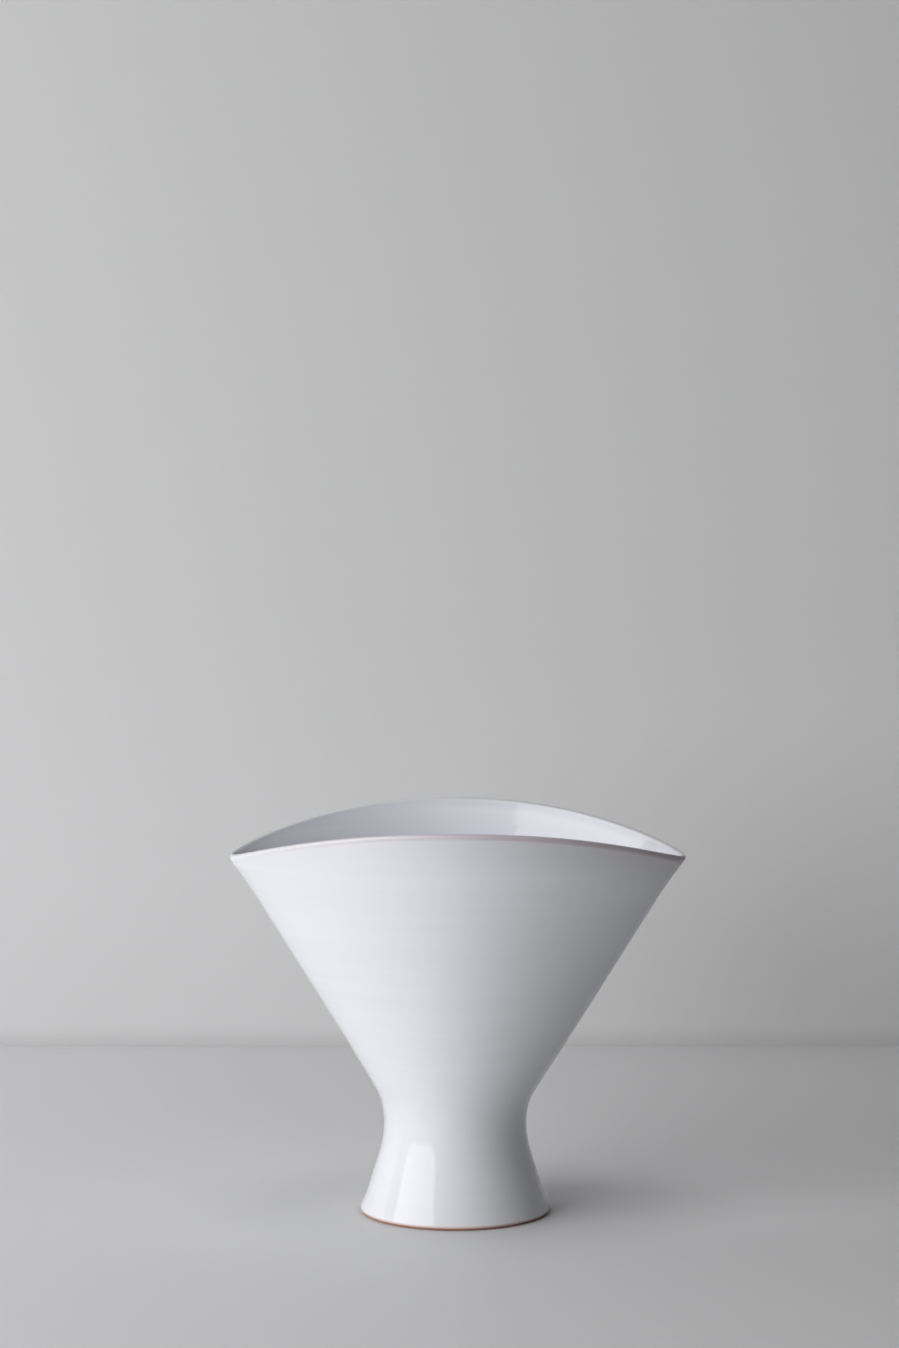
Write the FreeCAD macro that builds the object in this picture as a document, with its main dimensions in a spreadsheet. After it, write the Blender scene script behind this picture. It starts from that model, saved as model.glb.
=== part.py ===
import FreeCAD, Part
import math
import os
import Sketcher

# A thrown and glazed fan vase. The foot and waist are round; above the waist the bowl opens as a cone whose
# mouth is squeezed front to back into a pointed oval. X runs along the mouth, Y from front to back, Z up, and
# the origin is the centre of the circle on which the foot rests.

SIZES = {
    # the finished outside, glaze included
    "mouth_half_width": 116.4,
    "mouth_half_depth": 75,
    "mouth_end_radius": 30,
    "tip_height": 182,
    "rim_rise": 20,
    "waist_radius": 36.15,
    "waist_height": 45.5,
    "bowl_sweep": 38,
    "foot_sweep": 52,
    "foot_radius": 47.4,
    "foot_side_height": 2.2,
    "lip_flare": 1.6,
    "lip_flare_height": 26,
    # the clay walls
    "lip_clay": 2.2,
    "neck_radius": 31,
    "well_floor_radius": 26,
    "well_corner": 12,
    "floor_height": 9,
    "ring_width": 7.5,
    "recess_depth": 3,
    "recess_taper": 2,
    "foot_edge_round": 0.9,
    "lip_round": 0.6,
    # the slip between the two clay sections, and the glaze coats
    "slip": 0.8,
    "glaze": 0.4,
    "bare_lip": 1.2,
    "bare_foot": 1.2,
    # how far cuts run past what they cut
    "overrun": 25,
}

# Heights of the bowl's sections: first within the sweep out of the waist, then up the straight side.
SWEEP_HEIGHT_SHARES = (0, 0.25, 0.5, 0.75, 1)
SIDE_HEIGHT_SHARES = (0.08, 0.2, 0.4, 0.65, 0.82, 0.92, 1)

document = FreeCAD.newDocument("fan_vase")


def make_sheet():
    sheet = document.addObject("Spreadsheet::Sheet", "sizes")
    for row, (name, size) in enumerate(SIZES.items(), start=1):
        sheet.set("A%d" % row, name)
        sheet.set("B%d" % row, str(size))
        sheet.setAlias("B%d" % row, name)
    document.recompute()
    return sheet


sizes = make_sheet()


def value(words):
    """The length that words such as "foot_radius - glaze" add up to."""
    total = 0
    sign = 1
    for word in words.split():
        if word in ("+", "-"):
            sign = 1 if word == "+" else -1
        else:
            total += sign * sizes.get(word)
    return total


def formula(words):
    """The same words as an expression that reads the sheet."""
    return " ".join(word if word in ("+", "-") else "sizes." + word for word in words.split())


def tangent_point(point, centre, radius, left):
    """Where the line from a point touches a circle, on the left or right hand seen from the point."""
    across = centre[0] - point[0]
    up = centre[1] - point[1]
    distance = math.hypot(across, up)
    heading = math.atan2(up, across) + (1 if left else -1) * math.asin(radius / distance)
    reach = math.sqrt(distance**2 - radius**2)
    return (point[0] + reach * math.cos(heading), point[1] + reach * math.sin(heading))


def origin_plane(body, role):
    for feature in body.Origin.OriginFeatures:
        if feature.Role == role:
            return feature


def bind(sketch, constraint, words):
    number = sketch.addConstraint(constraint)
    sketch.setExpression("Constraints[%d]" % number, formula(words))


def pin_coordinate(sketch, edge, end, kind, words):
    """Holds one coordinate of an edge's end at the sum of named sizes, or on the axis where words is empty."""
    if words:
        bind(sketch, Sketcher.Constraint(kind, -1, 1, edge, end, value(words)), words)
    else:
        axis = -2 if kind == "DistanceX" else -1
        sketch.addConstraint(Sketcher.Constraint("PointOnObject", edge, end, axis))


class Corner:
    """A corner of an outline: words for its two coordinates, or a free place that a tangent line settles."""

    def __init__(self, x_words=None, z_words=None, place=None):
        self.words = (x_words, z_words)
        self.place = place or (value(x_words), value(z_words))


class Bend:
    """A round side of an outline: words for its centre's two coordinates, and its radius.

    One of its ends is a pinned corner, so the sketch takes the radius from the centre and that corner."""

    def __init__(self, x_words, z_words, radius_words):
        self.words = (x_words, z_words)
        self.centre = (value(x_words), value(z_words))
        self.radius = value(radius_words)


def draw_side(start, end, bend):
    """The edge from one corner to the next, and the numbers of its first and last ends."""
    if bend is None:
        line = Part.LineSegment(FreeCAD.Vector(*start, 0), FreeCAD.Vector(*end, 0))
        return line, (1, 2)
    angles = [math.atan2(z - bend.centre[1], x - bend.centre[0]) for x, z in (start, end)]
    turn = (angles[1] - angles[0]) % (2 * math.pi)
    ends = (1, 2) if turn < math.pi else (2, 1)
    first, last = angles if turn < math.pi else reversed(angles)
    circle = Part.Circle(FreeCAD.Vector(*bend.centre, 0), FreeCAD.Vector(0, 0, 1), bend.radius)
    return Part.ArcOfCircle(circle, first, last), ends


def outline(body, name, corners, bends):
    """A closed sketch on the body's upright XZ plane. bends gives the round side that starts at a corner."""
    sketch = body.newObject("Sketcher::SketchObject", name)
    sketch.AttachmentSupport = [(origin_plane(body, "XZ_Plane"), "")]
    sketch.MapMode = "FlatFace"
    count = len(corners)
    ends = []
    for index, corner in enumerate(corners):
        following = corners[(index + 1) % count]
        edge, edge_ends = draw_side(corner.place, following.place, bends.get(index))
        sketch.addGeometry(edge, False)
        ends.append(edge_ends)
    for index, corner in enumerate(corners):
        before = (index - 1) % count
        kind = "Coincident" if corner.words[0] is not None else "Tangent"
        joint = Sketcher.Constraint(kind, before, ends[before][1], index, ends[index][0])
        sketch.addConstraint(joint)
        if corner.words[0] is not None:
            pin_coordinate(sketch, index, ends[index][0], "DistanceX", corner.words[0])
            pin_coordinate(sketch, index, ends[index][0], "DistanceY", corner.words[1])
    for index, bend in bends.items():
        pin_coordinate(sketch, index, 3, "DistanceX", bend.words[0])
        pin_coordinate(sketch, index, 3, "DistanceY", bend.words[1])
    return sketch


def thrown(name, corners, bends):
    """A body turned about the upright axis from a half outline."""
    body = document.addObject("PartDesign::Body", name)
    sketch = outline(body, name + "_outline", corners, bends)
    turning = body.newObject("PartDesign::Revolution", name + "_turning")
    turning.Profile = sketch
    turning.ReferenceAxis = (sketch, ["V_Axis"])
    turning.Angle = 360
    return body


def edge_numbers(shape, wanted):
    """The numbers, counted from 1, of the shape's edges that are among the wanted ones."""
    return [
        number
        for number, edge in enumerate(shape.Edges, start=1)
        if any(edge.isSame(other) for other in wanted)
    ]


def foot_side(inset):
    """The foot's side from its waist down to its straight rim: corners and bend, at an inset from the outside."""
    less = " - glaze" if inset else ""
    more = " + glaze" if inset else ""
    sweep = Bend("waist_radius + foot_sweep", "waist_height - slip", "foot_sweep" + more)
    low = Corner("foot_radius" + less, "foot_side_height")
    touch = tangent_point(low.place, sweep.centre, sweep.radius, True)
    waist = Corner("waist_radius" + less, "waist_height - slip")
    return waist, Corner(place=touch), low, sweep


def well_side(inset):
    """The well's wall from the neck down to its floor: corners and bend, at an inset into the well."""
    less = " - glaze" if inset else ""
    more = " + glaze" if inset else ""
    hollow = Bend("well_floor_radius", "floor_height + well_corner", "well_corner" + less)
    neck = Corner("neck_radius" + less, "waist_height - slip")
    touch = tangent_point(neck.place, hollow.centre, hollow.radius, True)
    floor = Corner("well_floor_radius", "floor_height" + more)
    return neck, Corner(place=touch), floor, hollow


def make_foot_body():
    """The foot's clay, with the well's floor, a bare ring to stand on and a shallow recess inside it."""
    waist, side_touch, low, sweep = foot_side(True)
    neck, well_touch, floor, hollow = well_side(False)
    corners = [
        Corner("foot_radius - glaze", ""),
        low,
        side_touch,
        waist,
        neck,
        well_touch,
        floor,
        Corner("", "floor_height"),
        Corner("", "recess_depth"),
        Corner("foot_radius - glaze - ring_width - recess_taper", "recess_depth"),
        Corner("foot_radius - glaze - ring_width", ""),
    ]
    body = thrown("foot_body", corners, {2: sweep, 5: hollow})
    document.recompute()
    turning = body.Tip
    underside = [edge for edge in turning.Shape.Edges if edge.BoundBox.ZMax < sizes.foot_edge_round]
    rounding = body.newObject("PartDesign::Fillet", "foot_body_rounding")
    rounding.Base = (turning, ["Edge%d" % number for number in edge_numbers(turning.Shape, underside)])
    rounding.setExpression("Radius", "sizes.foot_edge_round")
    return body


def make_joining_slip():
    """The ring of slip between the two clay sections."""
    corners = [
        Corner("neck_radius", "waist_height - slip"),
        Corner("waist_radius - glaze", "waist_height - slip"),
        Corner("waist_radius - glaze", "waist_height"),
        Corner("neck_radius", "waist_height"),
    ]
    return thrown("joining_slip", corners, {})


def make_foot_outer_coat():
    """The glaze on the foot, from just above the table up to the top of the slip."""
    outer_waist, outer_touch, outer_low, outer_sweep = foot_side(False)
    inner_waist, inner_touch, inner_low, inner_sweep = foot_side(True)
    corners = [
        Corner("foot_radius", "bare_foot"),
        outer_low,
        outer_touch,
        outer_waist,
        Corner("waist_radius", "waist_height"),
        Corner("waist_radius - glaze", "waist_height"),
        inner_waist,
        inner_touch,
        inner_low,
        Corner("foot_radius - glaze", "bare_foot"),
    ]
    return thrown("foot_outer_coat", corners, {2: outer_sweep, 6: inner_sweep})


def make_foot_inner_coat():
    """The glaze in the well, from the floor up to the top of the slip."""
    clay_neck, clay_touch, clay_floor, clay_hollow = well_side(False)
    face_neck, face_touch, face_floor, face_hollow = well_side(True)
    corners = [
        Corner("neck_radius", "waist_height"),
        clay_neck,
        clay_touch,
        clay_floor,
        Corner("", "floor_height"),
        Corner("", "floor_height + glaze"),
        face_floor,
        face_touch,
        face_neck,
        Corner("neck_radius - glaze", "waist_height"),
    ]
    return thrown("foot_inner_coat", corners, {2: clay_hollow, 6: face_hollow})


def lean_of(reach, height):
    """The slope from upright of the straight side that leaves the sweep and reaches a point of the rim."""
    across = reach - value("waist_radius + bowl_sweep")
    up = height - sizes.waist_height
    return math.atan2(across, up) + math.asin(sizes.bowl_sweep / math.hypot(across, up))


def side_of(height, reach, top):
    """How far the bowl's outside lies from the upright axis, on the side that reaches a point of the rim."""
    lean = lean_of(reach, top)
    above = height - sizes.waist_height
    sweep_rise = sizes.bowl_sweep * math.sin(lean)
    if above <= sweep_rise:
        return value("waist_radius + bowl_sweep") - math.sqrt(sizes.bowl_sweep**2 - above**2)
    sweep_reach = sizes.bowl_sweep * (1 - math.cos(lean))
    return sizes.waist_radius + sweep_reach + (above - sweep_rise) * math.tan(lean)


def flare_at(height):
    """The ends of the mouth turn out a little more, close to the tips."""
    share = (height - value("tip_height - lip_flare_height")) / sizes.lip_flare_height
    return sizes.lip_flare * max(share, 0) ** 2


def width_and_depth(height):
    """Half the bowl's finished width and depth at a height."""
    reach_at_tip = value("mouth_half_width - lip_flare")
    width = side_of(height, reach_at_tip, sizes.tip_height) + flare_at(height)
    depth = side_of(height, sizes.mouth_half_depth, value("tip_height + rim_rise"))
    return width, depth


def meeting_angle():
    """The direction from X in which the oval's tight and wide arcs meet, which the mouth's end radius sets."""
    width, depth = width_and_depth(sizes.tip_height)
    end = sizes.mouth_end_radius
    wide = (width**2 + depth**2 - 2 * width * end) / (2 * (depth - end))
    return math.acos((width - end) / (wide - end))


def oval(height, inset):
    """The bowl's level section: four tangent arcs, two tight ones at the ends and two wide ones between."""
    width, depth = width_and_depth(height)
    angle = meeting_angle()
    narrowing = (1 - math.sin(angle)) / math.cos(angle)
    end = (depth - narrowing * width) / (1 - narrowing)
    join_x = width - end + (end - inset) * math.cos(angle)
    join_y = (end - inset) * math.sin(angle)
    stations = [(join_x, -join_y), (width - inset, 0), (join_x, join_y), (0, depth - inset)]
    stations += [(-x, -y) for x, y in stations]
    points = [FreeCAD.Vector(x, y, height) for x, y in stations]
    arcs = [Part.Arc(points[k], points[k + 1], points[(k + 2) % 8]) for k in range(0, 8, 2)]
    return Part.Wire([arc.toShape() for arc in arcs])


def section_heights():
    reach_at_tip = value("mouth_half_width - lip_flare")
    sweep_rise = sizes.bowl_sweep * math.sin(lean_of(reach_at_tip, sizes.tip_height))
    sweep_top = sizes.waist_height + sweep_rise
    top = value("tip_height + rim_rise + bare_lip")
    low = [sizes.waist_height + share * sweep_rise for share in SWEEP_HEIGHT_SHARES]
    return low + [sweep_top + share * (top - sweep_top) for share in SIDE_HEIGHT_SHARES]


def lofted(name, waist_inset, tip_inset):
    """A solid through the bowl's sections, each drawn in by an inset that changes evenly with height."""
    sections = []
    for index, height in enumerate(section_heights()):
        share = (height - sizes.waist_height) / value("tip_height - waist_height")
        section = document.addObject("Part::Feature", "%s_section_%d" % (name, index))
        section.Shape = oval(height, waist_inset + share * (tip_inset - waist_inset))
        sections.append(section)
    loft = document.addObject("Part::Loft", name)
    loft.Sections = sections
    loft.Solid = True
    loft.Ruled = False
    return loft


def rim_cutter(name, drop_words):
    """A block over the bowl with a saddle-shaped underside, high in the middle and low at the tips."""
    body = document.addObject("PartDesign::Body", name)
    sketch = body.newObject("Sketcher::SketchObject", name + "_outline")
    sketch.AttachmentSupport = [(origin_plane(body, "XZ_Plane"), "")]
    sketch.MapMode = "FlatFace"
    half_width = value("mouth_half_width")
    side = value("mouth_half_width + overrun")
    middle = value("tip_height + rim_rise" + drop_words)
    roof = value("tip_height + rim_rise + overrun")
    radius = (half_width**2 + sizes.rim_rise**2) / (2 * sizes.rim_rise)
    centre = middle - radius
    edge = centre + math.sqrt(radius**2 - side**2)
    slope = math.atan2(edge - centre, side)
    circle = Part.Circle(FreeCAD.Vector(0, centre, 0), FreeCAD.Vector(0, 0, 1), radius)
    sketch.addGeometry(Part.ArcOfCircle(circle, slope, math.pi - slope), False)
    corners = [(-side, edge), (-side, roof), (side, roof), (side, edge)]
    for start, end in zip(corners, corners[1:]):
        line = Part.LineSegment(FreeCAD.Vector(*start, 0), FreeCAD.Vector(*end, 0))
        sketch.addGeometry(line, False)
    on_middle = sketch.addGeometry(Part.Point(FreeCAD.Vector(0, middle, 0)), True)
    on_tip = sketch.addGeometry(Part.Point(FreeCAD.Vector(half_width, middle - sizes.rim_rise, 0)), True)
    for first, last in ((0, 1), (1, 2), (2, 3)):
        sketch.addConstraint(Sketcher.Constraint("Coincident", first, 2, last, 1))
    sketch.addConstraint(Sketcher.Constraint("Coincident", 3, 2, 0, 1))
    sketch.addConstraint(Sketcher.Constraint("Vertical", 1))
    sketch.addConstraint(Sketcher.Constraint("Horizontal", 2))
    sketch.addConstraint(Sketcher.Constraint("Vertical", 3))
    sketch.addConstraint(Sketcher.Constraint("PointOnObject", 0, 3, -2))
    pin_coordinate(sketch, 2, 2, "DistanceX", "mouth_half_width + overrun")
    pin_coordinate(sketch, 2, 2, "DistanceY", "tip_height + rim_rise + overrun")
    pin_coordinate(sketch, on_middle, 1, "DistanceX", "")
    pin_coordinate(sketch, on_middle, 1, "DistanceY", "tip_height + rim_rise" + drop_words)
    pin_coordinate(sketch, on_tip, 1, "DistanceX", "mouth_half_width")
    pin_coordinate(sketch, on_tip, 1, "DistanceY", "tip_height" + drop_words)
    sketch.addConstraint(Sketcher.Constraint("PointOnObject", on_middle, 1, 0))
    sketch.addConstraint(Sketcher.Constraint("PointOnObject", on_tip, 1, 0))
    sketch.addConstraint(Sketcher.Constraint("Symmetric", 0, 1, 0, 2, -2))
    pad = body.newObject("PartDesign::Pad", name + "_pad")
    pad.Profile = sketch
    pad.SideType = "Symmetric"
    pad.setExpression("Length", "2 * (sizes.mouth_half_depth + sizes.overrun)")
    return body


def cut(name, base, tool):
    result = document.addObject("Part::Cut", name)
    result.Base = base
    result.Tool = tool
    return result


def rounded_lip(name, base):
    """The same bowl with both edges of its lip rounded. The lip is its only cylindrical face."""
    document.recompute()
    lip = [face for face in base.Shape.Faces if face.Surface.TypeId == "Part::GeomCylinder"]
    lip_edges = [edge for face in lip for edge in face.Edges]
    rounding = document.addObject("Part::Fillet", name)
    rounding.Base = base
    radius = sizes.lip_round
    rounding.Edges = [(number, radius, radius) for number in edge_numbers(base.Shape, lip_edges)]
    return rounding


def make_bowl():
    """The bowl's clay and its two coats. Neighbours share a face, because both are cut from the same loft."""
    glaze = sizes.glaze
    neck_inset = value("waist_radius - neck_radius")
    lip_inset = value("glaze + lip_clay")
    outside = lofted("bowl_outside", 0, 0)
    clay_outside = lofted("bowl_clay_outside", glaze, glaze)
    clay_inside = lofted("bowl_clay_inside", neck_inset, lip_inset)
    inside = lofted("bowl_inside", neck_inset + glaze, lip_inset + glaze)
    clay_cutter = rim_cutter("rim_cutter", "")
    coat_cutter = rim_cutter("coat_cutter", " - bare_lip")
    sharp_clay = cut("bowl_clay", cut("bowl_clay_wall", clay_outside, clay_inside), clay_cutter)
    clay = rounded_lip("bowl_clay_rounded", sharp_clay)
    outer_coat = cut("bowl_outer_coat", cut("bowl_outer_skin", outside, clay_outside), coat_cutter)
    inner_coat = cut("bowl_inner_coat", cut("bowl_inner_skin", clay_inside, inside), coat_cutter)
    return clay, outer_coat, inner_coat


def joined(name, first, second):
    result = document.addObject("Part::Fuse", name)
    result.Base = first
    result.Tool = second
    return result


def check_all():
    for item in document.Objects:
        failed = [word for word in item.State if word in ("Invalid", "Error")]
        if failed:
            raise RuntimeError("%s is %s" % (item.Name, ", ".join(failed)))


def write(parts):
    os.makedirs("parts", exist_ok=True)
    for name, item in parts.items():
        item.Label = name
        if item.Shape.isNull() or not item.Shape.isValid() or len(item.Shape.Solids) != 1:
            raise RuntimeError("%s is not one valid solid" % name)
    for name, item in parts.items():
        item.Shape.exportStep("parts/%s.step" % name)
        print(name, "solids", len(item.Shape.Solids), "volume", round(item.Shape.Volume))


def main():
    foot = make_foot_body()
    slip = make_joining_slip()
    bowl_clay, bowl_outer_coat, bowl_inner_coat = make_bowl()
    outer_glaze = joined("outer_coat", bowl_outer_coat, make_foot_outer_coat())
    inner_glaze = joined("inner_coat", bowl_inner_coat, make_foot_inner_coat())
    document.recompute()
    check_all()
    write({
        "foot_body": foot,
        "joining_slip": slip,
        "bowl_body": bowl_clay,
        "outer_glaze": outer_glaze,
        "inner_glaze": inner_glaze,
    })


main()
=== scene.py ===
import math

import bpy
import numpy as np
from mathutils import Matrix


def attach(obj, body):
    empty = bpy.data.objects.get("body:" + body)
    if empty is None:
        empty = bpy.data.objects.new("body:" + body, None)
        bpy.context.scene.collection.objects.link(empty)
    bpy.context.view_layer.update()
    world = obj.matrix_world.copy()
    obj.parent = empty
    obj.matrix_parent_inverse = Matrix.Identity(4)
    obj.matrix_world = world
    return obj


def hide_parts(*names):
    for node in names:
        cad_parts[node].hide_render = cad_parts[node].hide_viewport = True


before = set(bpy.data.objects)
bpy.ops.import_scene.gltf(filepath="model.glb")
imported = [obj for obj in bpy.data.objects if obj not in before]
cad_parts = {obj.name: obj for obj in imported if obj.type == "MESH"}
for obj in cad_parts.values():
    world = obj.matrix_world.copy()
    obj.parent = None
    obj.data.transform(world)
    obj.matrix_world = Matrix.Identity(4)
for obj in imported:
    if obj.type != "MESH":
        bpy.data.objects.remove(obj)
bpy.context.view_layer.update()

# A thrown and glazed fan vase. Lengths are in metres, and angles in radians unless a name or comment says
# degrees. X runs along the mouth, Y from front to back, Z up, and the origin is the centre of the circle on
# which the foot rests.

# The bowl's outside, glaze included. Its mouth is a pointed oval and its rim a saddle.
MOUTH_HALF_WIDTH = 0.1163
MOUTH_HALF_DEPTH = 0.0749
TIP_HEIGHT = 0.1818
RIM_RISE = 0.0201
RIM_POWER = 2.2
RIM_CREST_SHIFT = -0.0011
BACK_RIM_DROP = 0.0010
WAIST_RADIUS = 0.0360
WAIST_HEIGHT = 0.0458
BOWL_SWEEP = 0.0333
LIP_FLARE = 0.0016
LIP_FLARE_HEIGHT = 0.026
PINCH = 0.27
PINCH_POWER = 1.5

# The two tips of the mouth: the lip's rounding is taller there, and at the left tip it stands more upright.
TIP_POWER = 12
TIP_CROWN = 0.0025
TIP_TUCK = 0.0013
TIP_TUCK_HEIGHT = 0.0055

# The bowl was joined a hair off the foot's axis.
BOWL_SHIFT = 0.0010
SHIFT_START_HEIGHT = 0.046
SHIFT_END_HEIGHT = 0.092

# The walls, the glaze and the lip.
LIP_THICKNESS = 0.0028
LIP_CROWN = 0.0016
LIP_TURN_OUT = 0.00025
LIP_TURN_OUT_HEIGHT = 0.009
TURN_OUT_FADE_HEIGHT = 0.026
WAIST_THICKNESS = 0.0054
GLAZE = 0.0004
GLAZE_RUN_OFF = 0.004
LIP_GLAZE_GAP = 0.0005
SLIP = 0.0008

# The foot's outside, from the waist down, and its underside.
FOOT_BEND_HEIGHT = 0.0375
FOOT_SWEEP = 0.0533
FOOT_FLARE_RADIUS = 0.0450
FOOT_FLARE_HEIGHT = 0.0090
FOOT_FLARE_ROUND = 0.050
FOOT_RADIUS = 0.0479
FOOT_SIDE_HEIGHT = 0.0021
FOOT_SIDE_ROUND = 0.003
GLAZE_EDGE_HEIGHT = 0.0011
GLAZE_EDGE_ROUND = 0.0003
RING_EDGE_ROUND = 0.0010
RING_WIDTH = 0.0075
RECESS_DEPTH = 0.003
RECESS_TAPER = 0.002
RECESS_ROUND = 0.0012

# The well inside the foot.
NECK_RADIUS = 0.0306
NECK_DROP = 0.006
WELL_SHOULDER = 0.020
WELL_BELLY_RADIUS = 0.0360
WELL_CORNER = 0.0105
WELL_FLOOR_HEIGHT = 0.0094

# The potter's throwing rings: ridges of several lengths that wander and swell with the height.
OUTER_RING_DEPTH = 0.000018
INNER_RING_DEPTH = 0.000018
OUTER_RING_SEED = 3
INNER_RING_SEED = 8
RING_LENGTHS = (0.0031, 0.0047, 0.0068, 0.0102, 0.0170)
RING_WANDER = 0.6
RING_EVENNESS = 0.6
RING_SWELL = 0.4
SWELLS_PER_METRE = 60
RINGS_START_ABOVE_WAIST = 0.01
RINGS_END_BELOW_LIP = 0.006

# How finely the surfaces are divided.
COLUMNS = 320
WALL_ROWS = 230
LIP_ROWS = 18
FINE_CLAY_ROWS = 16
HIDDEN_ROW_STRIDE = 8
PATH_STEP = 0.0006
LEAST_ARC_STEPS = 3
POLE_RADIUS = 0.001
NUDGE = 1e-5
RIM_ROUNDS = 40
LIP_ROUNDS = 6
SHARP_TURN = math.radians(70)

TURNS = np.arange(COLUMNS) * math.tau / COLUMNS


def smooth_step(share):
    share = np.clip(share, 0, 1)
    return share * share * (3 - 2 * share)


def between(value, start, end):
    """0 at the start, 1 at the end and eased at both. The end may lie below the start."""
    return smooth_step((value - start) / (end - start))


# How thin the glaze lies over its edges, by direction, and unevenly. Its growth towards the right is painted
# shade: more clay shows on the side turned away from the window.
THINNESS_MEAN = 0.44
# Painted shade: the clay at the glaze's edges shows more towards the right, the side turned away from the
# window.
PAINTED_SHADE_TO_THE_RIGHT = 0.40
THINNESS_WAVE = 0.03
THINNESS_WAVES_ROUND = 5
THINNESS_PHASE = 1
THINNESS_AND_SHADE = (
    THINNESS_MEAN
    + PAINTED_SHADE_TO_THE_RIGHT * np.cos(TURNS)
    + THINNESS_WAVE * np.sin(THINNESS_WAVES_ROUND * TURNS + THINNESS_PHASE)
)
BREAK_BELOW_LIP = 0.0010
BREAK_ABOVE_FOOT = 0.0016
FOOT_THINNESS = 0.55

# Painted shade: grey on the lip's top and on the thin glaze near it. Along the front of the lip the grey is
# even. Along its back, and on the outside below it, the grey grows from left to right, towards the side
# turned away from the window. The inside just below the lip follows the lip.
LIP_SHADE_AT_FRONT = 0.9
LIP_SHADE_AT_BACK = 0.87
LIP_TOP_SHADE = 0.85
INNER_SHADE = 0.36
INNER_SHADE_DEPTH = 0.0045
OUTER_SHADE = 0.40
OUTER_SHADE_DEPTH = 0.019
FRONT_TO_BACK = (-0.2, 0.2)
BACK_LEFT_TO_RIGHT = (-0.35, 0.40)
SIDE_LEFT_TO_RIGHT = (-0.6, 0.7)
# Painted shade grows from left to right, towards the side turned away from the window.
AT_BACK = between(np.sin(TURNS), *FRONT_TO_BACK)
BACK_SHADE = LIP_SHADE_AT_BACK * between(np.cos(TURNS), *BACK_LEFT_TO_RIGHT)
LIP_SHADE = LIP_SHADE_AT_FRONT + (BACK_SHADE - LIP_SHADE_AT_FRONT) * AT_BACK
SIDE_SHADE = OUTER_SHADE * between(np.cos(TURNS), *SIDE_LEFT_TO_RIGHT)

# Shares of the way over the lip, from its outer edge to its inner edge.
BARE_UNTIL_SHARE = 0.30
COVERED_FROM_SHARE = 0.68
GREY_START_SHARE = 0.15
GREY_FULL_SHARE = 0.45
GREY_FADE_SHARE = 0.70


def lean_of(reach, height):
    """The slope from upright of the straight side that leaves the sweep and reaches a point of the rim."""
    across = reach - (WAIST_RADIUS + BOWL_SWEEP)
    up = height - WAIST_HEIGHT
    return math.atan2(across, up) + math.asin(BOWL_SWEEP / math.hypot(across, up))


def side_of(height, reach, top):
    """How far the bowl's outside lies from the upright axis, on the side that reaches a point of the rim."""
    lean = lean_of(reach, top)
    above = height - WAIST_HEIGHT
    sweep_rise = BOWL_SWEEP * math.sin(lean)
    in_sweep = WAIST_RADIUS + BOWL_SWEEP - np.sqrt(np.maximum(BOWL_SWEEP**2 - above**2, 0))
    sweep_reach = BOWL_SWEEP * (1 - math.cos(lean))
    on_side = WAIST_RADIUS + sweep_reach + (above - sweep_rise) * math.tan(lean)
    return np.where(above <= sweep_rise, in_sweep, on_side)


def width_of(height):
    """Half the bowl's width, with the small flare near the lip."""
    flare = np.maximum((height - (TIP_HEIGHT - LIP_FLARE_HEIGHT)) / LIP_FLARE_HEIGHT, 0)
    return side_of(height, MOUTH_HALF_WIDTH - LIP_FLARE, TIP_HEIGHT) + LIP_FLARE * flare**2


def depth_of(height):
    """Half the bowl's depth, from its middle to its front or back."""
    return side_of(height, MOUTH_HALF_DEPTH, TIP_HEIGHT + RIM_RISE)


def left_tip_tuck(turns, heights):
    """How far the lip at the left tip of the mouth is set in, so that it stands more upright."""
    near_top = between(heights, TIP_HEIGHT - TIP_TUCK_HEIGHT, TIP_HEIGHT)
    return TIP_TUCK * near_top * np.maximum(-np.cos(turns), 0) ** TIP_POWER


def bowl_point(turns, heights):
    """Points of the bowl's outside: a circle at the waist that becomes a pointed oval on the way up."""
    width = width_of(heights)
    depth = depth_of(heights)
    squeezed = (1 - depth / width) / (1 - MOUTH_HALF_DEPTH / MOUTH_HALF_WIDTH)
    x = width * np.cos(turns) + left_tip_tuck(turns, heights)
    y = depth * np.sin(turns) * (1 - PINCH * squeezed**PINCH_POWER * np.cos(turns) ** 2)
    return np.stack([x, y, heights + 0 * x], axis=-1)


def unit(vectors):
    return vectors / np.linalg.norm(vectors, axis=-1, keepdims=True)


def bowl_normal(turns, heights):
    """The direction straight out of the bowl's side."""
    around = bowl_point(turns + NUDGE, heights) - bowl_point(turns - NUDGE, heights)
    upward = bowl_point(turns, heights + NUDGE) - bowl_point(turns, heights - NUDGE)
    return unit(np.cross(around, upward))


def shifted(points):
    """The points with the bowl set off the foot's axis."""
    moved = points.copy()
    moved[..., 0] += BOWL_SHIFT * between(points[..., 2], SHIFT_START_HEIGHT, SHIFT_END_HEIGHT)
    return moved


def rim_height(turns):
    """The height of the saddle-shaped rim in each direction. Its back is a little lower than its front."""
    rise = RIM_RISE - BACK_RIM_DROP * smooth_step(np.sin(turns))
    heights = np.full_like(turns, TIP_HEIGHT + RIM_RISE / 2)
    for _ in range(RIM_ROUNDS):
        reach = np.abs(width_of(heights) * np.cos(turns) - RIM_CREST_SHIFT) / MOUTH_HALF_WIDTH
        heights = TIP_HEIGHT + rise * (1 - reach**RIM_POWER)
    return heights


def lip_crown():
    """How far the lip's rounding rises above its start. It is tallest at the two tips of the mouth."""
    return LIP_CROWN + (TIP_CROWN - LIP_CROWN) * np.abs(np.cos(TURNS)) ** TIP_POWER


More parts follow.
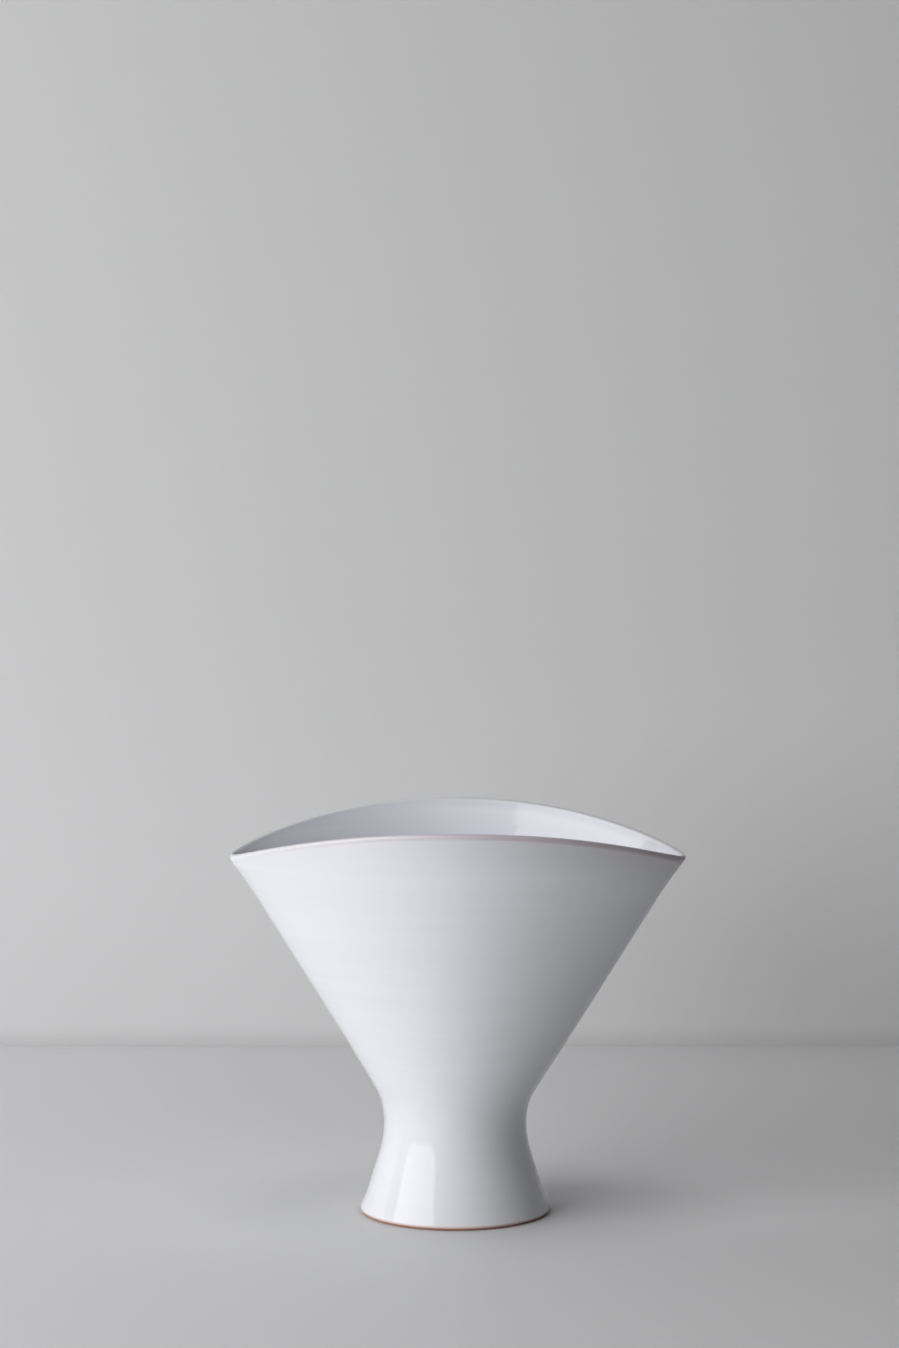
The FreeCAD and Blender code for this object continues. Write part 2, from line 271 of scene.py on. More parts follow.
def lip_section(base_heights):
    """The lip's middle, its outward and upward directions across the wall, and the height of its top."""
    outer = bowl_point(TURNS, base_heights)
    outward = bowl_normal(TURNS, base_heights)
    middle = outer - outward * LIP_THICKNESS / 2
    along = np.roll(middle, -1, axis=0) - np.roll(middle, 1, axis=0)
    upward = unit(np.cross(outward, along))
    upward *= np.sign(upward[:, 2:3])
    top = middle[:, 2] + np.hypot(lip_crown() * upward[:, 2], LIP_THICKNESS / 2 * outward[:, 2])
    return middle, outward, upward, top


def lip_base_heights():
    """Where the lip's rounding starts, so that its top follows the rim."""
    rim = rim_height(TURNS)
    base = rim - LIP_THICKNESS / 2
    for _ in range(LIP_ROUNDS):
        base = base + rim - lip_section(base)[3]
    return base


def wall_heights(lip_base):
    """Heights of the wall's rows in each direction, evenly spaced from the waist to the lip."""
    shares = np.linspace(0, 1, WALL_ROWS)
    return WAIST_HEIGHT + shares[:, None] * (lip_base[None, :] - WAIST_HEIGHT)


def turned_out(heights, below_lip):
    """How far the wall lies inside the line from waist to lip, because the lip turns out a little."""
    away_from_lip = between(below_lip, 0, LIP_TURN_OUT_HEIGHT)
    return LIP_TURN_OUT * away_from_lip * between(heights, WAIST_HEIGHT, WAIST_HEIGHT + TURN_OUT_FADE_HEIGHT)


# The wall's rows, shared by the clay and the coats.
LIP_BASE = lip_base_heights()
HEIGHTS = wall_heights(LIP_BASE)
BELOW_LIP = LIP_BASE[None, :] - HEIGHTS
OUTWARD = bowl_normal(TURNS[None, :], HEIGHTS)
OUTSIDE = bowl_point(TURNS[None, :], HEIGHTS) - OUTWARD * turned_out(HEIGHTS, BELOW_LIP)[..., None]


def throwing_rings(depth, seed):
    """Faint, uneven ridges from the potter's fingers, as a small offset that rises and falls with height."""
    random = np.random.default_rng(seed)
    total = np.zeros(HEIGHTS.shape)
    for length in RING_LENGTHS:
        phase = random.uniform(0, math.tau)
        swirl = random.integers(1, 3)
        wander = RING_WANDER * np.sin(TURNS * random.integers(1, 4) + random.uniform(0, math.tau))
        swell = np.sin(HEIGHTS * SWELLS_PER_METRE + random.uniform(0, math.tau))
        strength = depth * (RING_EVENNESS + RING_SWELL * swell)
        total += strength * np.sin(math.tau * HEIGHTS / length + phase + wander + swirl * TURNS)
    above_waist = between(HEIGHTS, WAIST_HEIGHT, WAIST_HEIGHT + RINGS_START_ABOVE_WAIST)
    return total * above_waist * between(BELOW_LIP, 0, RINGS_END_BELOW_LIP)


def coat_depth(coat):
    """How deep the clay lies under a coat of glaze, which thins away towards the lip."""
    return coat * between(BELOW_LIP, 0, GLAZE_RUN_OFF)


def outer_wall():
    rings = throwing_rings(OUTER_RING_DEPTH, OUTER_RING_SEED)
    return shifted(OUTSIDE + OUTWARD * rings[..., None])


def clay_outer_wall():
    return shifted(OUTSIDE - OUTWARD * coat_depth(GLAZE)[..., None])


def inner_wall(coat):
    """The inside of the wall, at a depth of the coat under its finished face."""
    towards_tip = between(HEIGHTS, WAIST_HEIGHT, TIP_HEIGHT)
    thickness = WAIST_THICKNESS + (LIP_THICKNESS - WAIST_THICKNESS) * towards_tip
    rings = throwing_rings(INNER_RING_DEPTH, INNER_RING_SEED)
    return shifted(OUTSIDE - OUTWARD * (thickness - rings - coat_depth(coat))[..., None])


def lip_rows():
    """The rounded lip, from the outside over the top to the inside, without its two ends."""
    middle, outward, upward, _ = lip_section(LIP_BASE)
    rows = []
    for index in range(1, LIP_ROWS):
        angle = math.pi * index / LIP_ROWS
        across = outward * LIP_THICKNESS / 2 * math.cos(angle)
        rows.append(shifted(middle + across + upward * lip_crown()[:, None] * math.sin(angle)))
    return np.array(rows)


def rounded_corner(before, here, after, rounding):
    """Points of the arc that rounds a corner between two straight runs."""
    into = unit(here - before)
    out = unit(after - here)
    turn = math.acos(np.clip(np.dot(into, out), -1, 1))
    reach = rounding * math.tan(turn / 2)
    left = np.array([-into[1], into[0]])
    side = 1 if np.dot(left, out) > 0 else -1
    centre = here - into * reach + left * side * rounding
    count = max(int(math.ceil(rounding * turn / PATH_STEP)), LEAST_ARC_STEPS)
    start = here - into * reach - centre
    arc = []
    for index in range(count + 1):
        angle = side * turn * index / count
        spin = np.array([[math.cos(angle), -math.sin(angle)], [math.sin(angle), math.cos(angle)]])
        arc.append(centre + spin @ start)
    return arc


def rounded_path(*corners):
    """Points along straight runs whose corners are rounded. Each corner is (across, up, rounding)."""
    places = [np.array(corner[:2]) for corner in corners]
    points = [places[0]]
    for before, here, after, corner in zip(places, places[1:], places[2:], corners[1:]):
        points += rounded_corner(before, here, after, corner[2])
    points.append(places[-1])
    filled = [points[0]]
    for point in points[1:]:
        start = filled[-1]
        count = max(int(math.ceil(np.linalg.norm(point - start) / PATH_STEP)), 1)
        filled += [start + (point - start) * index / count for index in range(1, count + 1)]
    return np.array(filled)


def turned(path):
    """Rows of points round the foot's axis, one row for each point of a path of radius and height."""
    radius = path[:, 0:1]
    height = path[:, 1:2] + 0 * TURNS[None, :]
    return np.stack([radius * np.cos(TURNS), radius * np.sin(TURNS), height], axis=-1)


def foot_side(depth):
    """The corners of the foot's flared side, from the top down, at a depth under the glaze's face."""
    return [
        (WAIST_RADIUS - depth, FOOT_BEND_HEIGHT, FOOT_SWEEP),
        (FOOT_FLARE_RADIUS - depth, FOOT_FLARE_HEIGHT, FOOT_FLARE_ROUND),
        (FOOT_RADIUS - depth, FOOT_SIDE_HEIGHT, FOOT_SIDE_ROUND),
    ]


def foot_glaze_path():
    """The foot's glazed face, from the waist down to the glaze's edge, which turns in to the clay."""
    return rounded_path(
        (WAIST_RADIUS, WAIST_HEIGHT, 0),
        *foot_side(0),
        (FOOT_RADIUS, GLAZE_EDGE_HEIGHT, GLAZE_EDGE_ROUND),
        (FOOT_RADIUS - GLAZE, GLAZE_EDGE_HEIGHT, 0),
    )


def foot_under_glaze_path():
    """The clay that the foot's glaze lies on, from the glaze's edge up to the waist."""
    return rounded_path(
        (FOOT_RADIUS - GLAZE, GLAZE_EDGE_HEIGHT, 0),
        *foot_side(GLAZE)[::-1],
        (WAIST_RADIUS - GLAZE, WAIST_HEIGHT, 0),
    )


def foot_clay_path():
    """The foot's clay, from its top down the side, under the ring and into the recess to the middle."""
    ring_outer = FOOT_RADIUS - GLAZE
    ring_inner = ring_outer - RING_WIDTH
    return rounded_path(
        (WAIST_RADIUS - GLAZE, WAIST_HEIGHT - SLIP, 0),
        *foot_side(GLAZE),
        (ring_outer, 0, RING_EDGE_ROUND),
        (ring_inner, 0, RING_EDGE_ROUND),
        (ring_inner - RECESS_TAPER, RECESS_DEPTH, RECESS_ROUND),
        (POLE_RADIUS, RECESS_DEPTH, 0),
    )


def well_path(coat):
    """The well's finished side, from the neck to its floor's middle, or the clay a coat's depth under it."""
    return rounded_path(
        (NECK_RADIUS + coat, WAIST_HEIGHT, 0),
        (NECK_RADIUS + coat, WAIST_HEIGHT - NECK_DROP, WELL_SHOULDER),
        (WELL_BELLY_RADIUS + coat, WELL_FLOOR_HEIGHT - coat, WELL_CORNER),
        (POLE_RADIUS, WELL_FLOOR_HEIGHT - coat, 0),
    )


def closed_mesh(name, rows, layers, first_pole=None, last_pole=None):
    """A closed surface through rows of points. It ends in poles, or else its last row meets its first."""
    rows = np.asarray(rows)
    count = rows.shape[0]
    vertices = [tuple(point) for point in rows.reshape(-1, 3)]
    faces = []
    joints = range(count - 1) if first_pole is not None else range(count)
    for row in joints:
        below = row * COLUMNS
        above = ((row + 1) % count) * COLUMNS
        for column in range(COLUMNS):
            following = (column + 1) % COLUMNS
            faces.append((below + column, below + following, above + following, above + column))
    if first_pole is not None:
        for pole, row, flip in ((first_pole, 0, True), (last_pole, count - 1, False)):
            centre = len(vertices)
            vertices.append(tuple(pole))
            for column in range(COLUMNS):
                ends = (row * COLUMNS + column, row * COLUMNS + (column + 1) % COLUMNS)
                faces.append((centre, ends[1], ends[0]) if flip else (centre, ends[0], ends[1]))
    mesh = bpy.data.meshes.new(name)
    mesh.from_pydata(vertices, [], faces)
    for layer_name, values in layers.items():
        layer = mesh.attributes.new(layer_name, "FLOAT", "POINT")
        flat = values.ravel()
        flat = np.concatenate([flat, np.zeros(len(vertices) - len(flat))])
        layer.data.foreach_set("value", flat)
    mesh.polygons.foreach_set("use_smooth", [True] * len(faces))
    mesh.set_sharp_from_angle(angle=SHARP_TURN)
    mesh.validate()
    mesh.update()
    piece = bpy.data.objects.new(name, mesh)
    bpy.context.scene.collection.objects.link(piece)
    return piece


def face_outward(piece):
    """Turns the faces so that the closed surface holds a positive volume."""
    mesh = piece.data
    mesh.calc_loop_triangles()
    volume = 0
    for triangle in mesh.loop_triangles:
        a, b, c = (mesh.vertices[index].co for index in triangle.vertices)
        volume += a.dot(b.cross(c))
    if volume < 0:
        mesh.flip_normals()
        mesh.update()


def lip_bareness(shares):
    """How much clay shows through the lip's thin glaze, from the lip's outer edge to its inner edge."""
    return 1 - between(shares, BARE_UNTIL_SHARE, COVERED_FROM_SHARE)


def lip_painted_shade(shares):
    """How much painted shade greys the thin glaze on the lip: most on its top, and less again on its inner
    edge.
    """
    strongest = LIP_TOP_SHADE + (INNER_SHADE - LIP_TOP_SHADE) * between(shares, GREY_FADE_SHARE, 1)
    return strongest * between(shares, GREY_START_SHARE, GREY_FULL_SHARE)


def make_bowl_clay():
    """The bowl's clay. Its walls lie under the glaze, so only the rows near the lip are close together."""
    outside = clay_outer_wall()
    inside = inner_wall(GLAZE)[::-1]
    below_outside = [*outside[:-FINE_CLAY_ROWS:HIDDEN_ROW_STRIDE], *outside[-FINE_CLAY_ROWS:]]
    below_inside = [*inside[:FINE_CLAY_ROWS], *inside[FINE_CLAY_ROWS::HIDDEN_ROW_STRIDE]]
    over_lip = np.arange(1, LIP_ROWS) / LIP_ROWS
    shares = np.concatenate([np.zeros(len(below_outside)), over_lip, np.ones(len(below_inside))])
    layers = {
        # The clay showing at the lip's edge, with painted shade growing towards the right.
        "bareness_and_shade": np.outer(lip_bareness(shares), THINNESS_AND_SHADE),
        # Painted shade: grey over the lip's top, growing towards the right along the back.
        "painted_shade": np.outer(lip_painted_shade(shares), LIP_SHADE),
    }
    return closed_mesh("bowl_clay", [*below_outside, *lip_rows(), *below_inside], layers)


def make_foot_clay():
    """The foot's clay, with the well inside it and the recess under it."""
    well = turned(well_path(GLAZE))
    under_slip = well[well[:, 0, 2] <= WAIST_HEIGHT - SLIP]
    return closed_mesh(
        "foot_clay",
        [*under_slip[::-1], *turned(foot_clay_path())],
        {},
        first_pole=(0, 0, WELL_FLOOR_HEIGHT - GLAZE),
        last_pole=(0, 0, RECESS_DEPTH),
    )


def make_outer_glaze():
    """The outer coat: its face from the lip down to the foot, and back up along the clay under it."""
    below = BELOW_LIP[:, 0]
    kept = below > LIP_GLAZE_GAP
    from_lip = below[kept][::-1]
    foot = turned(foot_glaze_path())
    visible = [*outer_wall()[kept][::-1], *foot[1:]]
    hidden = [*turned(foot_under_glaze_path())[1:-1], *clay_outer_wall()[kept]]
    above_edge = foot[1:, 0, 2] - GLAZE_EDGE_HEIGHT
    bareness_and_shade = np.zeros((len(visible) + len(hidden), COLUMNS))
    # The glaze's break below the lip, with painted shade growing towards the right.
    bareness_and_shade[: len(from_lip)] = np.outer(between(from_lip, BREAK_BELOW_LIP, 0), THINNESS_AND_SHADE)
    bareness_and_shade[len(from_lip) : len(visible)] = FOOT_THINNESS * between(above_edge, BREAK_ABOVE_FOOT, 0)[:, None]
    # Painted shade: grey on the outside below the lip, growing towards the right.
    painted_shade = np.zeros_like(bareness_and_shade)
    painted_shade[: len(from_lip)] = np.outer(between(from_lip, OUTER_SHADE_DEPTH, 0), SIDE_SHADE)
    return closed_mesh("glaze_outside", visible + hidden, {"bareness_and_shade": bareness_and_shade, "painted_shade": painted_shade})


def make_inner_glaze():
    """The inner coat: its face from the well's floor up to the lip, and back down along the clay under it."""
    below = BELOW_LIP[:, 0]
    kept = below > LIP_GLAZE_GAP
    well = turned(well_path(0))
    visible = [*well[::-1], *inner_wall(0)[kept][1:]]
    hidden = [*inner_wall(GLAZE)[kept][::-1][:-1], *turned(well_path(GLAZE))]
    # Painted shade: grey on the inside just below the lip, following the lip's grey.
    painted_shade = np.zeros((len(visible) + len(hidden), COLUMNS))
    near_lip = INNER_SHADE * between(below[kept][1:], INNER_SHADE_DEPTH, 0)
    painted_shade[len(well) : len(visible)] = np.outer(near_lip, LIP_SHADE)
    return closed_mesh(
        "glaze_inside",
        visible + hidden,
        {"painted_shade": painted_shade},
        first_pole=(0, 0, WELL_FLOOR_HEIGHT),
        last_pole=(0, 0, WELL_FLOOR_HEIGHT - GLAZE),
    )


# The glaze: a bluish white in faint bands round the vase, pink where it thins over the lip, terracotta where
# it thins at the foot, and grey where painted shade is laid on it. The inside is bluer. The thin and the
# breaking colour each come in over a range of the bareness, which also carries painted shade towards the
# right.
GLAZE_TONES = ((0.772, 0.785, 0.823, 1), (0.790, 0.803, 0.842, 1))
INNER_GLAZE_TONES = ((0.778, 0.794, 0.856, 1), (0.796, 0.812, 0.876, 1))
THIN_COLOUR = (0.64, 0.565, 0.612, 1)
BREAK_COLOUR = (0.43, 0.385, 0.415, 1)
FOOT_THIN_COLOUR = (0.62, 0.42, 0.36, 1)
# The grey of the painted shade on and near the lip.
PAINTED_SHADE_COLOUR = (0.466, 0.450, 0.483, 1)
THIN_RANGE = (0, 0.5)
BREAK_RANGE = (0.4, 1)
FOOT_COLOUR_HEIGHTS = (0.01, 0.02)
GLAZE_ROUGHNESS = (0.05, 0.08)
LIP_ROUGHNESS = (0.32, 0.40)
GLAZE_IOR = 1.46
BAND_STRETCH = (5, 5, 150)
BAND_DETAIL = 3
SHEEN_SCALE = 160
RIPPLE_SCALE = 220
RIPPLE_STRENGTH = 0.05
RIPPLE_DEPTH = 0.0004
FINE_DETAIL = 2

# The bare clay and slip: clouded in colour, matt and sandy.
CLAY_COLOUR = (0.36, 0.19, 0.15, 1)
SLIP_COLOUR = (0.46, 0.26, 0.19, 1)
CLOUD_DARKER = 0.8
CLOUD_LIGHTER = 1.12
CLOUD_SCALE = 90
CLOUD_DETAIL = 4
CLAY_ROUGHNESS = (0.75, 0.95)
GRAIN_SCALE = 2600
GRAIN_DETAIL = 3
GRAIN_STRENGTH = 0.5
GRAIN_DEPTH = 0.0002

# Most of a noise's values lie in the noise range. The whole range is from none to all.
NOISE_RANGE = (0.3, 0.7)
WHOLE = (0, 1)


def new_material(name):
    """An empty material with one shader, and what is needed to add to it."""
    material = bpy.data.materials.new(name)
    material.use_nodes = True
    nodes = material.node_tree.nodes
    nodes.clear()
    output = nodes.new("ShaderNodeOutputMaterial")
    shader = nodes.new("ShaderNodeBsdfPrincipled")
    material.node_tree.links.new(shader.outputs["BSDF"], output.inputs["Surface"])
    return material, nodes, material.node_tree.links, shader


def object_place(nodes):
    return nodes.new("ShaderNodeTexCoord").outputs["Object"]


def noise_node(nodes, links, place, scale, detail):
    node = nodes.new("ShaderNodeTexNoise")
    node.inputs["Scale"].default_value = scale
    node.inputs["Detail"].default_value = detail
    links.new(place, node.inputs["Vector"])
    return node.outputs["Fac"]


def colour_mix(nodes, links, amount, first, second):
    """A mix of two colours, each either a plain one or the output of another node."""
    node = nodes.new("ShaderNodeMix")
    node.data_type = "RGBA"
    links.new(amount, node.inputs["Factor"])
    for socket, colour in (("A", first), ("B", second)):
        target = [item for item in node.inputs if item.name == socket and item.type == "RGBA"][0]
        if isinstance(colour, tuple):
            target.default_value = colour
        else:
            links.new(colour, target)
    return [item for item in node.outputs if item.type == "RGBA"][0]


def mapped(nodes, links, source, old_range, new_range):
    """A value moved from one range to another and held within it."""
    node = nodes.new("ShaderNodeMapRange")
    node.inputs["From Min"].default_value = old_range[0]
    node.inputs["From Max"].default_value = old_range[1]
    node.inputs["To Min"].default_value = new_range[0]
    node.inputs["To Max"].default_value = new_range[1]
    links.new(source, node.inputs["Value"])
    return node.outputs["Result"]


def distance_along(nodes, links, direction):
    along = nodes.new("ShaderNodeVectorMath")
    along.operation = "DOT_PRODUCT"
    along.inputs[1].default_value = direction
    links.new(object_place(nodes), along.inputs[0])
    return along.outputs["Value"]


def layer_value(nodes, layer_name):
    node = nodes.new("ShaderNodeAttribute")
    node.attribute_name = layer_name
    return node.outputs["Fac"]


def add_bump(nodes, links, shader, height, strength, depth):
    bump = nodes.new("ShaderNodeBump")
    bump.inputs["Strength"].default_value = strength
    bump.inputs["Distance"].default_value = depth
    links.new(height, bump.inputs["Height"])
    links.new(bump.outputs["Normal"], shader.inputs["Normal"])


def glaze_material(name, tones, roughness):
    material, nodes, links, shader = new_material(name)
    place = object_place(nodes)
    stretch = nodes.new("ShaderNodeMapping")
    stretch.inputs["Scale"].default_value = BAND_STRETCH
    links.new(place, stretch.inputs["Vector"])
    bands = noise_node(nodes, links, stretch.outputs["Vector"], 1, BAND_DETAIL)
    tone = colour_mix(nodes, links, mapped(nodes, links, bands, NOISE_RANGE, WHOLE), *tones)
    # Painted shade: grey laid on where the layer says.
    tone = colour_mix(nodes, links, layer_value(nodes, "painted_shade"), tone, PAINTED_SHADE_COLOUR)
    height = distance_along(nodes, links, (0, 0, 1))
    above_foot = mapped(nodes, links, height, FOOT_COLOUR_HEIGHTS, WHOLE)
    thin_tone = colour_mix(nodes, links, above_foot, FOOT_THIN_COLOUR, THIN_COLOUR)
    # The bareness carries painted shade that grows towards the right of the lip.
    bareness_and_shade = layer_value(nodes, "bareness_and_shade")
    thin = mapped(nodes, links, bareness_and_shade, THIN_RANGE, WHOLE)
    tone = colour_mix(nodes, links, thin, tone, thin_tone)
    breaking = mapped(nodes, links, bareness_and_shade, BREAK_RANGE, WHOLE)
    tone = colour_mix(nodes, links, breaking, tone, BREAK_COLOUR)
    links.new(tone, shader.inputs["Base Color"])
    sheen = noise_node(nodes, links, place, SHEEN_SCALE, FINE_DETAIL)
    links.new(mapped(nodes, links, sheen, NOISE_RANGE, roughness), shader.inputs["Roughness"])
    shader.inputs["IOR"].default_value = GLAZE_IOR
    ripple = noise_node(nodes, links, place, RIPPLE_SCALE, FINE_DETAIL)
    add_bump(nodes, links, shader, ripple, RIPPLE_STRENGTH, RIPPLE_DEPTH)
    return material


def clay_material(name, colour):
    material, nodes, links, shader = new_material(name)
    place = object_place(nodes)
    darker = tuple(CLOUD_DARKER * part for part in colour[:3]) + (1,)
    lighter = tuple(CLOUD_LIGHTER * part for part in colour[:3]) + (1,)
    cloud = noise_node(nodes, links, place, CLOUD_SCALE, CLOUD_DETAIL)
    links.new(colour_mix(nodes, links, cloud, darker, lighter), shader.inputs["Base Color"])
    grain = noise_node(nodes, links, place, GRAIN_SCALE, GRAIN_DETAIL)
    links.new(mapped(nodes, links, grain, NOISE_RANGE, CLAY_ROUGHNESS), shader.inputs["Roughness"])
    add_bump(nodes, links, shader, grain, GRAIN_STRENGTH, GRAIN_DEPTH)
    return material


def dress(piece, material, slot, *nodes):
    """Gives a piece its material and puts it in the place of the nodes that it replaces."""
    piece.data.materials.clear()
    piece.data.materials.append(material)
    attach(piece, "root")
    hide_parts(*nodes)


def make_vase():
    glaze = glaze_material("white_glaze", GLAZE_TONES, GLAZE_ROUGHNESS)
    inner_glaze = glaze_material("inner_white_glaze", INNER_GLAZE_TONES, GLAZE_ROUGHNESS)
    lip_glaze = glaze_material("lip_glaze", GLAZE_TONES, LIP_ROUGHNESS)
    clay = clay_material("red_clay", CLAY_COLOUR)
    slip = clay_material("fired_slip", SLIP_COLOUR)
    pieces = (
        (make_bowl_clay(), lip_glaze, "red_clay", "bowl_body"),
        (make_foot_clay(), clay, "red_clay", "foot_body"),
        (make_outer_glaze(), glaze, "white_glaze", "outer_glaze"),
        (make_inner_glaze(), inner_glaze, "white_glaze", "inner_glaze"),
    )
    for piece, material, slot, node in pieces:
        face_outward(piece)
        dress(piece, material, slot, node)
    ring = bpy.data.objects["joining_slip"]
    ring.data.materials.clear()
    ring.data.materials.append(slip)


# The table top and the wall behind it. Both are pale, with painted light: paler on the left, towards the
# window, and the wall darker upwards. Painted shade makes them a little darker where they meet. A fade is a
# direction whose length sets how fast the colour changes. A shade is a painted shade, (direction, start, end,
# strength), and darkens by the strength from its start to its end.
STAGE_HALF_WIDTH = 3.0
TABLE_FRONT = -1.6
WALL_DISTANCE = 0.446
WALL_TOP = 3.0
JOIN_WIDTH = 0.012
JOIN_LINE = 0.0015
LOW_SHADE_HEIGHT = 0.100
UP = (0, 0, 1)
BACK = (0, 1, 0)
TABLE_TONES = ((0.770, 0.770, 0.784, 1), (0.668, 0.668, 0.677, 1))
# Painted light: the table is paler towards the window on the left.
TABLE_LIGHT_FADE = (3.7, 0, 0)
# Painted shade along the table's back edge, at the wall.
TABLE_SHADES = ((BACK, WALL_DISTANCE - JOIN_WIDTH, WALL_DISTANCE, 0.96),)
TABLE_ROUGHNESS = 0.6
WALL_TONES = ((0.815, 0.815, 0.825, 1), (0.578, 0.580, 0.582, 1))
# Painted light: the wall darkens upwards and a little towards the right.
WALL_LIGHT_FADE = (0.2, 0, 1.2)
# Painted shade: a dark line at the wall's foot and a broader darkening over its lowest part.
WALL_SHADES = ((UP, JOIN_WIDTH, JOIN_LINE, 0.87), (UP, LOW_SHADE_HEIGHT, 0, 0.95))
WALL_ROUGHNESS = 0.8
BLACK = (0, 0, 0, 1)


def plain_material(name, tones, fade, shades, roughness):
    """A plain surface whose grey changes evenly across it as painted light, and darkens softly with painted
    shade where table and wall meet.
    """
    material, nodes, links, shader = new_material(name)
    # Painted light: the grey falls off along the fade.
    away = mapped(nodes, links, distance_along(nodes, links, fade), (-1, 1), WHOLE)
    colour = colour_mix(nodes, links, away, *tones)
    # Painted shade where table and wall meet.
    for direction, start, end, strength in shades:
        distance = distance_along(nodes, links, direction)
        shade = mapped(nodes, links, distance, (start, end), (1, strength))
        colour = colour_mix(nodes, links, shade, BLACK, colour)
    links.new(colour, shader.inputs["Base Color"])
    shader.inputs["Roughness"].default_value = roughness
    return material


def see_through_from_behind(material):
    """Lets the camera look through the sheet's back, so that the vase can be seen from behind the wall."""
    nodes = material.node_tree.nodes
    links = material.node_tree.links
    output = nodes["Material Output"]
    surface = output.inputs["Surface"].links[0].from_socket
    behind = nodes.new("ShaderNodeMath")
    behind.operation = "MULTIPLY"
    links.new(nodes.new("ShaderNodeNewGeometry").outputs["Backfacing"], behind.inputs[0])
    links.new(nodes.new("ShaderNodeLightPath").outputs["Is Camera Ray"], behind.inputs[1])
    choice = nodes.new("ShaderNodeMixShader")
    links.new(behind.outputs["Value"], choice.inputs["Fac"])
    links.new(surface, choice.inputs[1])
    links.new(nodes.new("ShaderNodeBsdfTransparent").outputs["BSDF"], choice.inputs[2])
    links.new(choice.outputs["Shader"], output.inputs["Surface"])


def flat_sheet(name, corners, material):
    """One flat face of the stage."""
    mesh = bpy.data.meshes.new(name)
    mesh.from_pydata(corners, [], [tuple(range(len(corners)))])
    mesh.materials.append(material)
    sheet = bpy.data.objects.new(name, mesh)
    bpy.context.scene.collection.objects.link(sheet)
    return sheet


def make_stage():
    side = STAGE_HALF_WIDTH
    back = WALL_DISTANCE
    top = WALL_TOP
    table = plain_material("table_top", TABLE_TONES, TABLE_LIGHT_FADE, TABLE_SHADES, TABLE_ROUGHNESS)
    wall = plain_material("wall", WALL_TONES, WALL_LIGHT_FADE, WALL_SHADES, WALL_ROUGHNESS)
    see_through_from_behind(wall)
    flat_sheet(
        "table_top",
        [(-side, TABLE_FRONT, 0), (side, TABLE_FRONT, 0), (side, back, 0), (-side, back, 0)],
        table,
    )
    flat_sheet(
        "wall",
        [(-side, back, 0), (side, back, 0), (side, back, top), (-side, back, top)],
        wall,
    )


# The lamps hang round the vase and face it: a broad window on the left, the dimmer room on both sides of it,
# and the ceiling. None of them shows as a reflection. What the glaze mirrors is a pane of its own.
LAMP_DISTANCE = 2.4
LAMP_TARGET_HEIGHT = 0.1
WINDOW_TURN_DEGREES = -56.5

# Each lamp is (name, turn and rise in degrees, width and height, power in watts).
LAMPS = (
    ("window", WINDOW_TURN_DEGREES, 20, (2.27, 1.9), 35.4),
    ("left_side", -84, 9, (0.95, 0.6), 4),
    ("right_side", -28, 13, (1.4, 1.0), 16.0),
    ("ceiling", 0, 85, (1.0, 1.0), 8),
)

PANE_RISE_DEGREES = 25
PANE_WIDTH = 2.27
PANE_HEIGHT = 2.5
PANE_CORNER = 0.6
PANE_CORNER_POINTS = 9
PANE_GLOW = 2.85
ROOM_GREY = (0.25, 0.25, 0.25, 1)


def hang(thing, turn, rise):
    """Places a lamp or pane round the vase, facing it. Its turn and rise are in degrees."""
    turn = math.radians(turn)
    rise = math.radians(rise)
    level = LAMP_DISTANCE * math.cos(rise)
    height = LAMP_TARGET_HEIGHT + LAMP_DISTANCE * math.sin(rise)
    thing.location = (level * math.sin(turn), -level * math.cos(turn), height)
    thing.rotation_euler = (math.radians(90) - rise, 0, turn)


def make_lamp(name, turn, rise, size, power):
    light = bpy.data.lights.new(name, "AREA")
    light.shape = "ELLIPSE"
    light.size, light.size_y = size
    light.energy = power
    lamp = bpy.data.objects.new(name, light)
    hang(lamp, turn, rise)
    lamp.visible_camera = False
    lamp.visible_glossy = False
    bpy.context.scene.collection.objects.link(lamp)


def glow_material(name, strength):
    material = bpy.data.materials.new(name)
    material.use_nodes = True
    nodes = material.node_tree.nodes
    nodes.clear()
    output = nodes.new("ShaderNodeOutputMaterial")
    glow = nodes.new("ShaderNodeEmission")
    glow.inputs["Strength"].default_value = strength
    material.node_tree.links.new(glow.outputs["Emission"], output.inputs["Surface"])
    return material


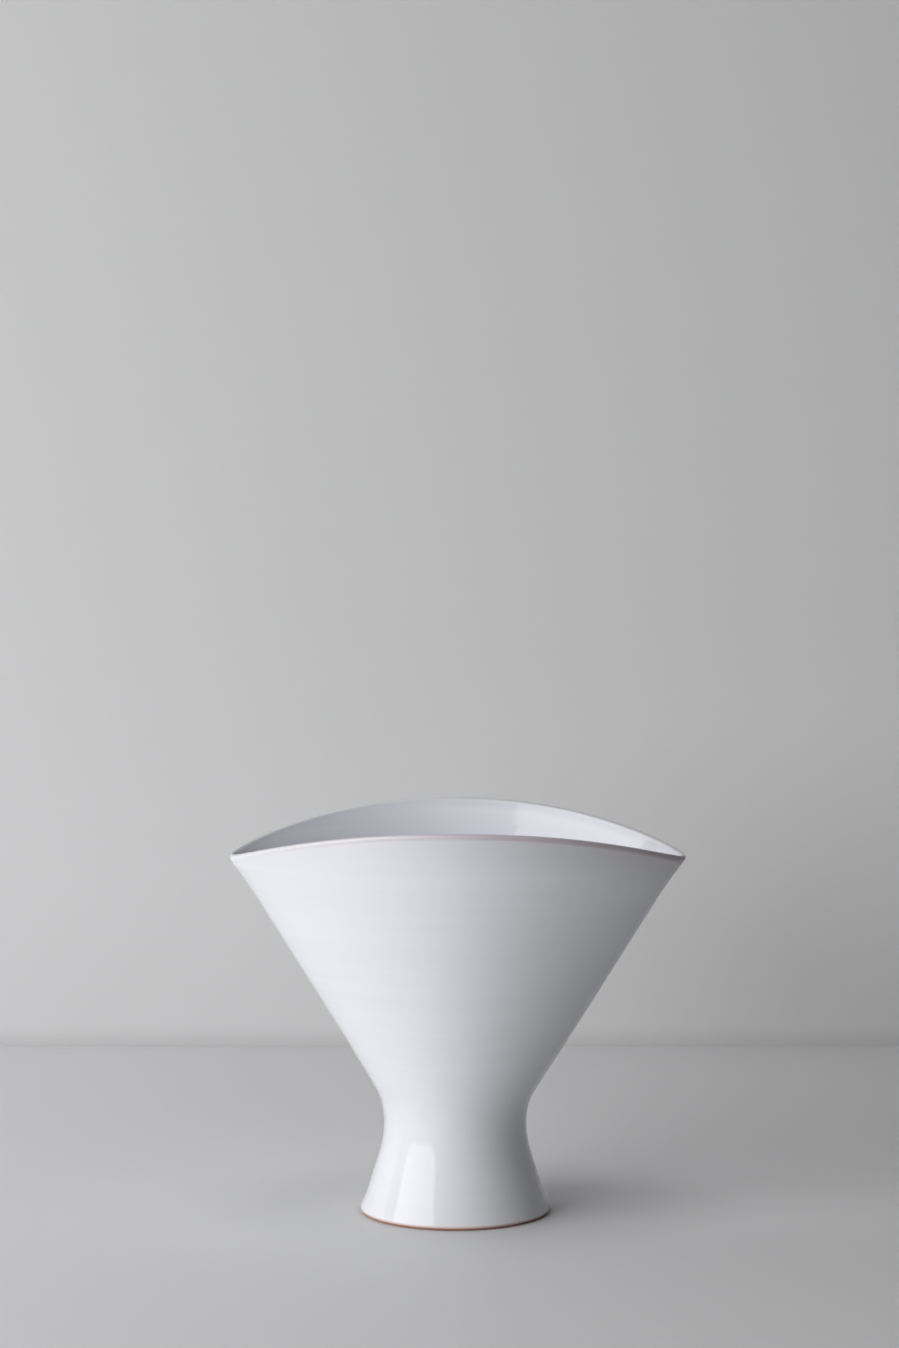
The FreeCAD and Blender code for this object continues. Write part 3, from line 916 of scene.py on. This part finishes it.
def rounded_rectangle(width, height, corner):
    """The points of a flat rectangle with rounded corners, round its middle."""
    across = width / 2 - corner
    up = height / 2 - corner
    quarter_turn = math.tau / 4
    points = []
    for quarter, side, over in ((0, 1, 1), (1, -1, 1), (2, -1, -1), (3, 1, -1)):
        for step in range(PANE_CORNER_POINTS):
            angle = quarter_turn * (quarter + step / (PANE_CORNER_POINTS - 1))
            points.append((side * across + corner * math.cos(angle), over * up + corner * math.sin(angle), 0))
    return points


def make_reflection():
    """The window as the glaze shows it: a pale sheet with rounded corners that lights nothing else."""
    outline = rounded_rectangle(PANE_WIDTH, PANE_HEIGHT, PANE_CORNER)
    pane = flat_sheet("window_pane", outline, glow_material("window_pane", PANE_GLOW))
    hang(pane, WINDOW_TURN_DEGREES, PANE_RISE_DEGREES)
    pane.visible_camera = False
    pane.visible_diffuse = False
    pane.visible_shadow = False


def make_world():
    """A room that gives no light of its own, seen as a grey by the camera and in the glaze."""
    world = bpy.data.worlds.new("room")
    world.use_nodes = True
    nodes = world.node_tree.nodes
    links = world.node_tree.links
    background = nodes["Background"]
    background.inputs["Color"].default_value = ROOM_GREY
    path = nodes.new("ShaderNodeLightPath")
    shown = path.outputs["Is Camera Ray"]
    for kind in ("Is Glossy Ray", "Is Transmission Ray"):
        either = nodes.new("ShaderNodeMath")
        either.operation = "MAXIMUM"
        links.new(shown, either.inputs[0])
        links.new(path.outputs[kind], either.inputs[1])
        shown = either.outputs["Value"]
    links.new(shown, background.inputs["Strength"])
    bpy.context.scene.world = world


def make_lights():
    for lamp in LAMPS:
        make_lamp(*lamp)
    make_reflection()
    make_world()


# The camera stands in front of the vase, well above its rim, and looks slightly down.
CAMERA_PLACE = (-0.0029, -2.150, 0.4902)
CAMERA_PITCH = math.radians(5.78)
CAMERA_LENS = 115.44
CAMERA_NEAR = 0.05
CAMERA_FAR = 50


def make_camera():
    camera = bpy.data.cameras.new("camera")
    camera.lens = CAMERA_LENS
    camera.clip_start = CAMERA_NEAR
    camera.clip_end = CAMERA_FAR
    stand = bpy.data.objects.new("camera", camera)
    stand.location = CAMERA_PLACE
    stand.rotation_euler = (math.radians(90) - CAMERA_PITCH, 0, 0)
    bpy.context.scene.collection.objects.link(stand)
    bpy.context.scene.camera = stand


bpy.context.scene.view_settings.view_transform = "Standard"
make_vase()
make_stage()
make_lights()
make_camera()
